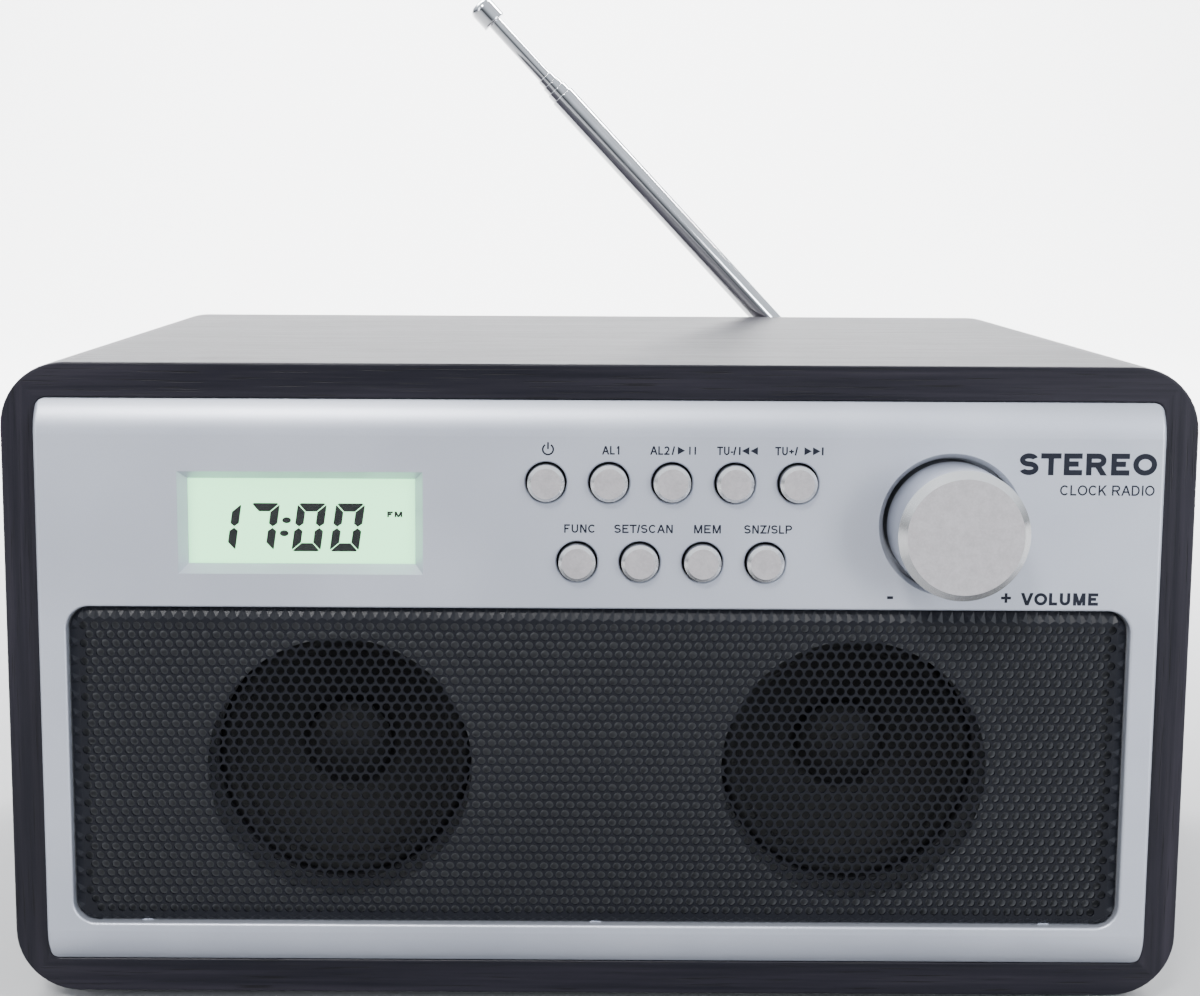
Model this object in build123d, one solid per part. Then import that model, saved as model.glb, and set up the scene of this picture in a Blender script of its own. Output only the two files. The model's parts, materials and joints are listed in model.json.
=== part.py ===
from build123d import *
import math
import os

# Tabletop clock radio: a wooden sleeve with a silver front panel, a perforated steel grille over two
# speakers, a display, nine keys, a volume knob, and a telescopic antenna behind the back panel.
# Millimetres, +Z up, the front faces -Y. Sizes below are measured from the cabinet's front plane (y = 0),
# its centre line (x = 0) and its underside (z = 0). save() moves them to the part's own origin, which is
# under the middle of the whole radio, level with the soles of the feet.

# cabinet sleeve
CABINET_W = 260.0
CABINET_H = 142.3
CABINET_D = 150.0
CABINET_CORNER = 14.1
WALL = 7.7
OPENING_CORNER = 2.4
EDGE_EASE = 0.5
FOOT_H = 2.5
FOOT_R = 7.0
FOOT_X = 104.0
FOOT_Y = (24.0, 128.0)
BLOCK = 12.0
BLOCK_L = 22.0

# front panel
PANEL_GAP = 0.15
PANEL_PROUD = 3.0
PANEL_WALL = 2.2
PANEL_CORNER = 2.2
SKIRT_BACK = 8.2
SKIRT_WALL = 2.0
ROLL_H = 7.5
ROLL_DROP = 3.1
SIDE_ROUND = 1.0
TRIM = 0.4
BOSS_R = 2.6

# grille and baffle
WINDOW_W = 232.0
WINDOW_Z = (17.2, 89.1)
WINDOW_CORNER = 5.0
LIP = 0.6
GRILLE_GAP = 0.3
GRILLE_RECESS = 0.6
SHEET = 0.6
GRILLE_BEND = 1.3
BAFFLE_T = 9.0
BAFFLE_Z = (14.4, 93.4)
SPEAKER_X = 56.8
SPEAKER_Z = 52.5
CUTOUT_R = 29.25
SPEAKER_FIX = 26.4
SPEAKER_SCREW_R = 1.5

# display
DISPLAY_X = -64.65
DISPLAY_Z = 107.8
DISPLAY_OUT = (53.1, 22.5)
DISPLAY_IN = (49.4, 18.8)
BEVEL_DEPTH = 2.3
LENS_T = 1.1
CELL_GAP = 0.1
CELL_T = 2.0
BACKLIGHT_T = 3.0

# keys: two staggered rows
KEY_PITCH = 13.6
KEY_ROW_1 = (-11.5, 117.0)
KEY_ROW_2 = (-4.7, 99.6)
KEY_NAMES_1 = ("key_power", "key_alarm_1", "key_alarm_2", "key_tune_down", "key_tune_up")
KEY_NAMES_2 = ("key_function", "key_set", "key_memory", "key_snooze")
KEY_R = 4.0
KEY_HOLE_R = 4.5
HOLE_EDGE = 0.25
KEY_PROUD = 2.2
KEY_RIM = 0.7
KEY_TRAVEL = 0.6
KEY_BOARD_Y = 9.0
KEY_BOARD_X = (-23.5, 55.0)
KEY_BOARD_Z = (94.4, 124.5)
BOARD_T = 1.6

# volume knob
KNOB_X = 76.2
KNOB_Z = 108.05
KNOB_R = 13.9
KNOB_PROUD = 13.5
KNOB_BEVEL = 1.6
WELL_R = 14.7
WELL_EDGE = 1.0
WELL_FLOOR = 2.0
SHAFT_R = 3.0
SHAFT_GAP = 0.05

# back panel and sockets
BACK_T = 3.0
BACK_RECESS = 3.0
BOARD_Z = 13.7
SOCKET_Z = 22.0
DC_X = -52.0
AUX_X = -34.0
PHONES_X = -18.0
JACK_BORE_R = 1.75
JACK_BORE_L = 14.0

# antenna, folded against the back of the cabinet and leaning towards -X
ANTENNA_LEAN = 43.2
PIVOT_X = 78.9
PIVOT_Z = 116.4
ANTENNA_Y = 156.0
SLIDE_GAP = 0.05
TUBE_R = (3.75, 3.35, 2.95, 2.55, 2.15)
TUBE_START = (7.2, 16.0, 17.5, 19.0, 41.5)
TUBE_END = (127.0, 129.7, 132.2, 134.7, 156.9)
TUBE_WALL = 0.35
TIP_R = 3.8
TIP_L = 7.5
FORK_R = 4.6
FORK_BACK = 160.4
TONGUE_T = 3.2
POST_R = 4.0
PIN_R = 1.25

FACE_Y = -PANEL_PROUD
PANEL_BACK = FACE_Y + PANEL_WALL
BACK_IN = CABINET_D - BACK_RECESS - BACK_T
BACK_OUT = CABINET_D - BACK_RECESS
OPENING_W = CABINET_W - 2 * WALL
OPENING_H = CABINET_H - 2 * WALL
MID_Z = CABINET_H / 2
Y_CENTRE = (FACE_Y - KNOB_PROUD + FORK_BACK) / 2


def save(name, *solids):
    """Write one sub-part, moved to the part's own origin."""
    placed = [Pos(0, -Y_CENTRE, FOOT_H) * solid for solid in solids]
    export_step(placed[0] if len(placed) == 1 else Compound(placed), f"parts/{name}.step")


def block(x, y, z):
    """Box from three (low, high) pairs."""
    middle = ((x[0] + x[1]) / 2, (y[0] + y[1]) / 2, (z[0] + z[1]) / 2)
    return Pos(*middle) * Box(x[1] - x[0], y[1] - y[0], z[1] - z[0])


def rod(x, z, y, radius):
    """Round bar along Y from y[0] to y[1]."""
    return Pos(x, (y[0] + y[1]) / 2, z) * Rot(90, 0, 0) * Cylinder(radius, y[1] - y[0])


def cone(x, z, y, radii):
    """Tapered round bar along Y, radii[0] at y[0] and radii[1] at y[1]."""
    return Pos(x, (y[0] + y[1]) / 2, z) * Rot(-90, 0, 0) * Cone(radii[0], radii[1], y[1] - y[0])


def plate(x, z, width, height, corner, y):
    """Rounded rectangle centred on x, z and extruded along Y from y[0] to y[1]."""
    outline = Plane.XZ * Pos(x, z) * RectangleRounded(width, height, corner)
    return Pos(0, y[1], 0) * extrude(outline, y[1] - y[0])


def window_z():
    """Middle height and height of the grille window."""
    return (WINDOW_Z[0] + WINDOW_Z[1]) / 2, WINDOW_Z[1] - WINDOW_Z[0]


def key_places():
    """Name, x and z of each key."""
    rows = ((KEY_ROW_1, KEY_NAMES_1), (KEY_ROW_2, KEY_NAMES_2))
    return [(name, x0 + i * KEY_PITCH, z) for (x0, z), names in rows for i, name in enumerate(names)]


def screw(x, z, y_seat, length, shank_r, head_r=2.6, head_h=1.8):
    """Pan-head screw driven towards the front: its head lies on y_seat, its shank points to -Y."""
    head = cone(x, z, (y_seat, y_seat + head_h), (head_r, head_r * 0.72))
    slot = block((x - head_r, x + head_r), (y_seat + head_h - 0.7, y_seat + head_h + 1), (z - 0.35, z + 0.35))
    cross = block((x - 0.35, x + 0.35), (y_seat + head_h - 0.7, y_seat + head_h + 1), (z - head_r, z + head_r))
    recess = (slot + cross) & rod(x, z, (y_seat, y_seat + head_h + 1), head_r * 0.5)
    return head - recess + rod(x, z, (y_seat - length, y_seat), shank_r)


# ---------------------------------------------------------------- cabinet

BLOCK_SPOTS = [(sx * (OPENING_W - BLOCK) / 2, MID_Z + sz * (OPENING_H - BLOCK) / 2)
               for sx in (-1, 1) for sz in (-1, 1)]
BLOCK_HIGH = MID_Z + (OPENING_H - BLOCK) / 2
BLOCK_LOW = MID_Z - (OPENING_H - BLOCK) / 2
BLOCK_MIDDLE = [(0.0, BLOCK_HIGH), (-86.0, BLOCK_LOW), (80.0, BLOCK_LOW)]
SCREW_HOLE = 1.5


def cabinet_shell():
    sleeve = plate(0, MID_Z, CABINET_W, CABINET_H, CABINET_CORNER, (0, CABINET_D))
    sleeve -= plate(0, MID_Z, OPENING_W, OPENING_H, OPENING_CORNER, (-1, CABINET_D + 1))
    ends = sleeve.faces().filter_by(Axis.Y)
    return fillet(ends.edges(), EDGE_EASE)


def glue_blocks():
    """Softwood blocks glued in the sleeve: four behind the front panel, seven ahead of the back panel."""
    solids = []
    for x, z in BLOCK_SPOTS:
        solids.append(plate(x, z, BLOCK, BLOCK, OPENING_CORNER, (SKIRT_BACK, SKIRT_BACK + BLOCK_L)))
    for x, z in BLOCK_SPOTS + BLOCK_MIDDLE:
        solids.append(plate(x, z, BLOCK, BLOCK, OPENING_CORNER, (BACK_IN - BLOCK_L, BACK_IN)))
    drilled = []
    for solid in solids:
        centre = solid.center()
        drilled.append(solid - rod(centre.X, centre.Z, (centre.Y - BLOCK_L, centre.Y + BLOCK_L), SCREW_HOLE))
    return drilled


def foot(x, y):
    """Rubber foot: a low disc with a rounded sole."""
    disc = Pos(x, y, -FOOT_H / 2) * Cylinder(FOOT_R, FOOT_H)
    return fillet(disc.edges().group_by(Axis.Z)[0], 0.8)


# ---------------------------------------------------------------- front panel

PANEL_W = OPENING_W - 2 * PANEL_GAP
PANEL_H = OPENING_H - 2 * PANEL_GAP
PANEL_TOP = MID_Z + PANEL_H / 2
PANEL_BOTTOM = MID_Z - PANEL_H / 2
ROLL_R = (ROLL_H ** 2 + ROLL_DROP ** 2) / (2 * ROLL_DROP)
BAFFLE_BOSSES = [(x, z) for z in (BAFFLE_Z[0] + 0.6, BAFFLE_Z[1] - 1.9) for x in (-100.0, 0.0, 100.0)]
KEY_BOSSES = [(x, z) for x in (KEY_BOARD_X[0] + 3.2, KEY_BOARD_X[1] - 3.2) for z in (100.0, 119.5)]
HOLDER_BOSSES = [(DISPLAY_X + sx * 33.0, DISPLAY_Z + sz * 10.0) for sx in (-1, 1) for sz in (-1, 1)]
PILOT_R = 1.1


def panel_section():
    """Outer section in the YZ plane: flat face, rolled back past the top and bottom edges."""
    high = PANEL_TOP - ROLL_H
    low = PANEL_BOTTOM + ROLL_H
    run = ROLL_H + TRIM
    end = FACE_Y + ROLL_R - math.sqrt(ROLL_R ** 2 - run ** 2)
    face = Line((FACE_Y, low), (FACE_Y, high))
    top = TangentArc((FACE_Y, high), (end, high + run), tangent=(0, 1))
    bottom = TangentArc((FACE_Y, low), (end, low - run), tangent=(0, -1))
    back = Polyline((end, high + run), (SKIRT_BACK, high + run), (SKIRT_BACK, low - run), (end, low - run))
    return Plane.YZ * make_face(face + top + bottom + back)


def panel_body():
    """The moulding before its openings: rolled front, rounded outline, hollow behind."""
    body = Pos(-PANEL_W / 2, 0, 0) * extrude(panel_section(), PANEL_W)
    sides = [e for e in body.edges() if abs(abs(e.center().X) - PANEL_W / 2) < 0.01
             and e.center().Y < SKIRT_BACK - 0.1]
    body = fillet(sides, SIDE_ROUND)
    body &= plate(0, MID_Z, PANEL_W, PANEL_H, PANEL_CORNER, (FACE_Y - 1, SKIRT_BACK))
    inner_w = PANEL_W - 2 * SKIRT_WALL
    inner_h = PANEL_H - 2 * SKIRT_WALL
    body -= plate(0, MID_Z, inner_w, inner_h, 1.0, (FACE_Y + ROLL_DROP + 1.0, SKIRT_BACK + 1))
    flat_h = PANEL_H - 2 * ROLL_H + 2.5
    return body - plate(0, MID_Z, inner_w, flat_h, 1.0, (PANEL_BACK, SKIRT_BACK + 1))


def display_bevel():
    """Tapered recess from the panel's face down to the display window."""
    wide = Plane.XZ.offset(-FACE_Y) * Pos(DISPLAY_X, DISPLAY_Z) * Rectangle(*DISPLAY_OUT)
    narrow = Plane.XZ.offset(-FACE_Y - BEVEL_DEPTH) * Pos(DISPLAY_X, DISPLAY_Z) * Rectangle(*DISPLAY_IN)
    return loft([wide, narrow])


def grille_window(body):
    """Cut the grille's opening and round its front edge."""
    middle, height = window_z()
    body -= plate(0, middle, WINDOW_W, height, WINDOW_CORNER, (FACE_Y - 1, PANEL_BACK + 0.5))
    edge = [e for e in body.edges() if abs(e.center().Y - FACE_Y) < 0.001
            and abs(e.center().X) < WINDOW_W / 2 + 0.1 and e.center().Z < WINDOW_Z[1] + 0.1
            and e.center().Z > WINDOW_Z[0] - 0.1]
    return fillet(edge, LIP)


def front_panel():
    body = grille_window(panel_body())
    # raised frame and pocket that hold the display from behind
    body += plate(DISPLAY_X, DISPLAY_Z, 59.0, 27.6, 1.5, (PANEL_BACK, 2.0))
    # cup for the knob
    body += rod(KNOB_X, KNOB_Z, (PANEL_BACK - 0.2, WELL_FLOOR + 2.0), WELL_R + 1.6)
    for x, z in KEY_BOSSES:
        body += rod(x, z, (PANEL_BACK - 0.2, KEY_BOARD_Y), BOSS_R)
    for x, z in HOLDER_BOSSES:
        body += rod(x, z, (PANEL_BACK - 0.2, 6.0), BOSS_R)
    for x, z in BAFFLE_BOSSES:
        body += rod(x, z, (PANEL_BACK - 0.2, 5.0), BOSS_R)
    for x, z in BLOCK_SPOTS:
        body += plate(x, z, BLOCK - 1.0, BLOCK - 1.0, 2.0, (0.5, SKIRT_BACK))
    # display recess, window and pocket
    body -= display_bevel()
    body -= block((DISPLAY_X - DISPLAY_IN[0] / 2, DISPLAY_X + DISPLAY_IN[0] / 2), (FACE_Y, 3.0),
                  (DISPLAY_Z - DISPLAY_IN[1] / 2, DISPLAY_Z + DISPLAY_IN[1] / 2))
    body -= plate(DISPLAY_X, DISPLAY_Z, DISPLAY_IN[0] + 3.0, DISPLAY_IN[1] + 3.0, 0.5,
                  (FACE_Y + BEVEL_DEPTH + 0.2, 3.0))
    for name, x, z in key_places():
        body -= rod(x, z, (FACE_Y - 1, PANEL_BACK + 1), KEY_HOLE_R)
        body -= cone(x, z, (FACE_Y, FACE_Y + HOLE_EDGE), (KEY_HOLE_R + HOLE_EDGE, KEY_HOLE_R))
    # well for the knob, with a chamfered mouth and a hole for the bush
    body -= rod(KNOB_X, KNOB_Z, (FACE_Y - 1, WELL_FLOOR), WELL_R)
    body -= cone(KNOB_X, KNOB_Z, (FACE_Y, FACE_Y + WELL_EDGE), (WELL_R + WELL_EDGE, WELL_R))
    body -= rod(KNOB_X, KNOB_Z, (WELL_FLOOR - 1, WELL_FLOOR + 3), 3.7)
    # pilot holes in the bosses
    for x, z in KEY_BOSSES:
        body -= rod(x, z, (KEY_BOARD_Y - 6.0, KEY_BOARD_Y + 1), PILOT_R)
    for x, z in HOLDER_BOSSES:
        body -= rod(x, z, (0.5, 7.0), PILOT_R)
    for x, z in BAFFLE_BOSSES:
        body -= rod(x, z, (-0.6, 6.0), PILOT_R)
    for x, z in BLOCK_SPOTS:
        body -= rod(x, z, (2.0, SKIRT_BACK + 1), 1.3)
    return body


# ---------------------------------------------------------------- grille, baffle and speakers

SPEAKER_SCREWS = [(side * SPEAKER_X + sx * SPEAKER_FIX, SPEAKER_Z + sz * SPEAKER_FIX)
                  for side in (-1, 1) for sx in (-1, 1) for sz in (-1, 1)]


def speaker_grille():
    """Steel sheet pressed into a shallow tray: flat face, rounded bend, short return to the baffle."""
    middle, height = window_z()
    width = WINDOW_W - 2 * GRILLE_GAP
    height -= 2 * GRILLE_GAP
    front = FACE_Y + GRILLE_RECESS
    tray = plate(0, middle, width, height, WINDOW_CORNER - GRILLE_GAP, (front, PANEL_BACK))
    tray = fillet(tray.faces().sort_by(Axis.Y)[0].edges(), GRILLE_BEND)
    inner = plate(0, middle, width - 2 * SHEET, height - 2 * SHEET, WINDOW_CORNER - GRILLE_GAP - SHEET,
                  (front + SHEET, PANEL_BACK + 1))
    inner = fillet(inner.faces().sort_by(Axis.Y)[0].edges(), GRILLE_BEND - SHEET)
    return tray - inner


def baffle_board():
    middle = (BAFFLE_Z[0] + BAFFLE_Z[1]) / 2
    width = PANEL_W - 2 * SKIRT_WALL - 0.4
    body = plate(0, middle, width, BAFFLE_Z[1] - BAFFLE_Z[0], 1.0, (PANEL_BACK, PANEL_BACK + BAFFLE_T))
    for x, z in BLOCK_SPOTS:
        body -= plate(x, z, BLOCK + 0.2, BLOCK + 0.2, 2.0, (PANEL_BACK - 1, SKIRT_BACK + 1))
    for side in (-1, 1):
        body -= rod(side * SPEAKER_X, SPEAKER_Z, (PANEL_BACK - 1, PANEL_BACK + BAFFLE_T + 1), CUTOUT_R)
    for x, z in SPEAKER_SCREWS:
        body -= rod(x, z, (PANEL_BACK + 2.0, PANEL_BACK + BAFFLE_T + 1), SPEAKER_SCREW_R + 0.01)
    body -= rod(KNOB_X, KNOB_Z, (PANEL_BACK - 1, PANEL_BACK + BAFFLE_T + 1), WELL_R + 1.9)
    for x, z in BAFFLE_BOSSES:
        body -= rod(x, z, (PANEL_BACK - 1, 5.3), BOSS_R + 0.2)
        body -= rod(x, z, (PANEL_BACK, SKIRT_BACK + 1), 1.5)
    return body


BASKET_Y = PANEL_BACK + BAFFLE_T
FLANGE_T = 1.6
MAGNET_Y = BASKET_Y + 20.5


def ring(x, z, y, outer, inner):
    """Flat ring along Y."""
    return rod(x, z, y, outer) - rod(x, z, (y[0] - 1, y[1] + 1), inner)


def turned(x, z, points):
    """Solid of revolution about a Y axis through x, z, from (radius, y) points."""
    face = make_face(Polyline(*points, close=True))
    return Pos(x, 0, z) * revolve(face, Axis.Y)


def speaker_basket(x):
    """Pressed frame: square flange, conical wall with four windows, rear plate for the magnet."""
    y0 = BASKET_Y
    flange = plate(x, SPEAKER_Z, 65.0, 65.0, 9.0, (y0, y0 + FLANGE_T))
    flange -= rod(x, SPEAKER_Z, (y0 - 1, y0 + FLANGE_T + 1), 28.6)
    wall = turned(x, SPEAKER_Z, [(28.6, y0), (29.8, y0), (29.8, y0 + 5), (19.5, y0 + 20.5), (8.5, y0 + 20.5),
                                 (8.5, y0 + 19.3), (18.5, y0 + 19.3), (28.6, y0 + 4.5)])
    for angle in (0, 90, 180, 270):
        opening = Rot(0, angle, 0) * block((14.0, 40.0), (y0 + 7.5, y0 + 17.0), (-9.0, 9.0))
        wall -= Pos(x, 0, SPEAKER_Z) * opening
    body = flange + wall
    for hole_x, hole_z in SPEAKER_SCREWS:
        body -= rod(hole_x, hole_z, (y0 - 1, y0 + 3), SPEAKER_SCREW_R + 0.2)
    return body


def speaker_cone(x):
    """Paper cone with its dust cap."""
    y0 = BASKET_Y
    paper = turned(x, SPEAKER_Z, [(24.0, y0 + 2.0), (24.6, y0 + 2.0), (24.6, y0 + 2.4), (8.2, y0 + 14.0),
                                  (8.2, y0 + 17.5), (7.6, y0 + 17.5), (7.6, y0 + 13.7)])
    cap_r = 9.6
    sphere_r = 13.0
    centre_y = y0 + 9.6 + math.sqrt(sphere_r ** 2 - cap_r ** 2)
    shell = Pos(x, centre_y, SPEAKER_Z) * (Sphere(sphere_r) - Sphere(sphere_r - 0.5))
    cap = shell & rod(x, SPEAKER_Z, (y0, y0 + 13.2), cap_r)
    return paper + cap


def speaker_surround(x):
    """Rubber half roll between cone and basket."""
    y0 = BASKET_Y
    roll = Pos(x, y0 + 2.0, SPEAKER_Z) * Rot(90, 0, 0) * (Torus(26.5, 1.9) - Torus(26.5, 1.4))
    roll &= rod(x, SPEAKER_Z, (y0 - 1, y0 + 2.0), 40.0)
    return roll


def speaker_magnet(x):
    """Front plate, ferrite ring and back plate, glued into one stack."""
    stack = rod(x, SPEAKER_Z, (MAGNET_Y, MAGNET_Y + 2.5), 20.0)
    stack += rod(x, SPEAKER_Z, (MAGNET_Y + 2.5, MAGNET_Y + 11.0), 22.5)
    stack += rod(x, SPEAKER_Z, (MAGNET_Y + 11.0, MAGNET_Y + 14.0), 20.0)
    return stack


def speaker_screws():
    return [screw(x, z, BASKET_Y + FLANGE_T, 8.0, SPEAKER_SCREW_R) for x, z in SPEAKER_SCREWS]


# ---------------------------------------------------------------- display


def display_parts():
    """Clear window, display cell, backlight and the tray behind them, from front to back."""
    y0 = FACE_Y + BEVEL_DEPTH + 0.2
    y1 = y0 + LENS_T + CELL_GAP
    y2 = y1 + CELL_T
    y3 = y2 + BACKLIGHT_T
    width, height = DISPLAY_IN[0] + 2.8, DISPLAY_IN[1] + 2.8
    window = plate(DISPLAY_X, DISPLAY_Z, width, height, 0.4, (y0, y0 + LENS_T))
    cell = plate(DISPLAY_X, DISPLAY_Z, width, height, 0.4, (y1, y2))
    backlight = plate(DISPLAY_X, DISPLAY_Z, width, height, 0.4, (y2, y3))
    tray = plate(DISPLAY_X, DISPLAY_Z, 59.0, 27.6, 1.5, (2.0, y3 + 1.5))
    tray -= plate(DISPLAY_X, DISPLAY_Z, width + 0.2, height + 0.2, 0.5, (1.0, y3))
    for x, z in HOLDER_BOSSES:
        tray += plate(x, z, 7.0, 7.0, 2.0, (6.0, y3 + 1.5))
        tray -= rod(x, z, (5.0, y3 + 3), 1.3)
        tray -= rod(x, z, (0.0, 6.0), BOSS_R + 0.2)
    return window, cell, backlight, tray, y3 + 1.5


# ---------------------------------------------------------------- keys and volume control


def key(x, z):
    """Round cap with a bevelled rim, a flange that keeps it behind the panel, and a stem."""
    front = FACE_Y - KEY_PROUD
    cap = rod(x, z, (front + KEY_RIM, PANEL_BACK + 0.1), KEY_R)
    cap += cone(x, z, (front, front + KEY_RIM), (KEY_R - KEY_RIM, KEY_R))
    flange = rod(x, z, (PANEL_BACK + 0.1, PANEL_BACK + 1.1), KEY_HOLE_R + 0.8)
    stem = rod(x, z, (PANEL_BACK + 1.1, 4.3), 1.8)
    return cap + flange + stem


def tact_switch(x, z):
    """Square switch on the key board with a round plunger just clear of the key's stem."""
    body = block((x - 3, x + 3), (KEY_BOARD_Y - 3.4, KEY_BOARD_Y), (z - 3, z + 3))
    plunger_front = 4.3 + KEY_TRAVEL + 0.1
    return body + rod(x, z, (plunger_front, KEY_BOARD_Y - 3.4), 1.6)


def key_board():
    body = block(KEY_BOARD_X, (KEY_BOARD_Y, KEY_BOARD_Y + BOARD_T), KEY_BOARD_Z)
    for x, z in KEY_BOSSES:
        body -= rod(x, z, (KEY_BOARD_Y - 1, KEY_BOARD_Y + 3), 1.3)
    return body


ENCODER_Y = WELL_FLOOR + 2.0


def volume_encoder():
    """Rotary encoder: square case behind the well, threaded bush through its floor."""
    case = block((KNOB_X - 6.5, KNOB_X + 6.5), (ENCODER_Y, ENCODER_Y + 7.0), (KNOB_Z - 6.5, KNOB_Z + 6.5))
    body = case + rod(KNOB_X, KNOB_Z, (-3.2, ENCODER_Y), 3.5)
    return body - rod(KNOB_X, KNOB_Z, (-4.0, ENCODER_Y + 4.0), SHAFT_R + SHAFT_GAP)


def encoder_nut():
    hexagon = Plane.XZ * Pos(KNOB_X, KNOB_Z) * RegularPolygon(5.6, 6)
    nut = Pos(0, WELL_FLOOR, 0) * extrude(hexagon, 2.0)
    return nut - rod(KNOB_X, KNOB_Z, (-1, WELL_FLOOR + 1), 3.52)


def volume_knob():
    """Solid knob with a bevelled front edge, counterbored behind for the nut."""
    front = FACE_Y - KNOB_PROUD
    rear = WELL_FLOOR - 0.9
    body = rod(KNOB_X, KNOB_Z, (front + KNOB_BEVEL, rear), KNOB_R)
    body += cone(KNOB_X, KNOB_Z, (front, front + KNOB_BEVEL), (KNOB_R - KNOB_BEVEL, KNOB_R))
    body -= rod(KNOB_X, KNOB_Z, (-4.4, rear + 1), 8.5)
    return body - rod(KNOB_X, KNOB_Z, (front + 3.0, rear), SHAFT_R + 0.01)


def encoder_shaft():
    return rod(KNOB_X, KNOB_Z, (FACE_Y - KNOB_PROUD + 3.0, ENCODER_Y + 3.6), SHAFT_R)


# ---------------------------------------------------------------- boards, sockets and wiring

MAIN_X = (-72.0, 66.0)
MAIN_Y = (64.0, 143.0)
MAIN_FIX = [(x, y) for x in (MAIN_X[0] + 5, MAIN_X[1] - 5) for y in (MAIN_Y[0] + 5, 112.0)]
MAIN_TOP = BOARD_Z + BOARD_T


def main_board():
    body = block(MAIN_X, MAIN_Y, (BOARD_Z, MAIN_TOP))
    for x, y in MAIN_FIX:
        body -= Pos(x, y, BOARD_Z) * Cylinder(1.6, 8)
    return body


def board_spacer(x, y):
    """Plastic spacer between the cabinet's floor and the main board."""
    height = BOARD_Z - WALL
    return Pos(x, y, WALL + height / 2) * (Cylinder(3.5, height) - Cylinder(1.6, height + 1))


def board_screw(x, y):
    """Screw down through the main board and its spacer."""
    shank = Pos(x, y, (MAIN_TOP + WALL) / 2) * Cylinder(1.5, MAIN_TOP - WALL)
    return shank + Pos(x, y, MAIN_TOP + 0.9) * Cylinder(2.8, 1.8)


def heat_sink():
    """Finned block of the amplifier."""
    body = block((16.0, 52.0), (88.0, 92.0), (MAIN_TOP, MAIN_TOP + 30))
    for i in range(6):
        x = 16.0 + i * 6.9
        body += block((x, x + 1.5), (92.0, 108.0), (MAIN_TOP, MAIN_TOP + 30))
    return body


def board_parts():
    """Capacitors standing on the main board."""
    places = ((-10.0, 82.0, 6.0, 20.0), (-26.0, 82.0, 6.0, 20.0), (-42.0, 80.0, 4.0, 12.0))
    return [fillet((Pos(x, y, MAIN_TOP + h / 2) * Cylinder(r, h)).edges().group_by(Axis.Z)[-1], 0.6)
            for x, y, r, h in places]


def jack(x, nose_r, bore_r, bore_l):
    """Panel socket on the main board: case, round nose through the back panel, round bore."""
    case = block((x - 5.5, x + 5.5), (BACK_IN - 12.5, BACK_IN - 0.5), (MAIN_TOP, SOCKET_Z + 5.5))
    nose = rod(x, SOCKET_Z, (BACK_IN - 0.5, BACK_OUT + 0.4), nose_r)
    return case + nose - rod(x, SOCKET_Z, (BACK_OUT + 0.4 - bore_l, BACK_OUT + 1), bore_r)


def dc_socket():
    depth = 10.0
    pin_back = BACK_OUT + 0.4 - depth
    pin = rod(DC_X, SOCKET_Z, (pin_back - 0.5, BACK_OUT - 1.0), 1.0)
    return jack(DC_X, 4.6, 2.9, depth) + pin


def ribbon_cable():
    """Flat cable from the key board, down between the speakers, to the main board."""
    y0 = KEY_BOARD_Y + BOARD_T
    points = [(0, y0, 104.0), (0, 30.0, 104.0), (0, 42.0, 60.0), (0, 52.0, 21.0), (0, 72.0, MAIN_TOP + 1.0)]
    path = FilletPolyline(*points, radius=8.0)
    section = Plane(origin=path @ 0, x_dir=(1, 0, 0), z_dir=path % 0) * Rectangle(18.0, 0.8)
    return Pos(8.0, 0, 0) * sweep(section, path=path)


def speaker_lead(side):
    """Twin lead from a speaker's tags to the main board."""
    x0 = side * (SPEAKER_X - 18.0)
    points = [(x0, BASKET_Y + 9.0, 80.0), (x0, 52.0, 84.0), (side * 32.0, 66.0, 56.0),
              (side * 30.0, 70.0, MAIN_TOP + 16.0), (side * 30.0, 70.0, MAIN_TOP)]
    path = FilletPolyline(*points, radius=6.0)
    return sweep(Plane(origin=path @ 0, z_dir=path % 0) * Circle(1.2), path=path)


# ---------------------------------------------------------------- back panel

VENT_W = 2.4
VENT_L = 34.0
VENT_PITCH = 6.4
VENT_COUNT = 7


def back_panel():
    """Flat panel with two banks of vent slots, holes for sockets and antenna, and a raised border."""
    body = plate(0, MID_Z, OPENING_W - 0.4, OPENING_H - 0.4, OPENING_CORNER - 0.2, (BACK_IN, BACK_OUT))
    # shallow field inside a raised border
    body -= plate(0, MID_Z, OPENING_W - 40.0, OPENING_H - 34.0, 6.0, (BACK_OUT - 0.6, BACK_OUT + 1))
    for side in (-1, 1):
        for i in range(VENT_COUNT):
            z = 52.0 + i * VENT_PITCH
            body -= plate(side * 62.0, z, VENT_L, VENT_W, VENT_W / 2 - 0.01, (BACK_IN - 1, BACK_OUT + 1))
    for x, r in ((DC_X, 4.8), (AUX_X, 4.2), (PHONES_X, 4.2)):
        body -= rod(x, SOCKET_Z, (BACK_IN - 1, BACK_OUT + 1), r)
    body -= rod(PIVOT_X, PIVOT_Z, (BACK_IN - 1, BACK_OUT + 1), 6.02)
    for x, z in BLOCK_SPOTS + BLOCK_MIDDLE:
        body -= rod(x, z, (BACK_IN - 1, BACK_OUT + 1), 1.7)
    return body


# ---------------------------------------------------------------- antenna

LEAN = math.radians(ANTENNA_LEAN)
ALONG = (-math.sin(LEAN), 0, math.cos(LEAN))
ACROSS = (math.cos(LEAN), 0, math.sin(LEAN))
MAST = Plane(origin=(PIVOT_X, ANTENNA_Y, PIVOT_Z), x_dir=ACROSS, z_dir=ALONG)


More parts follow.
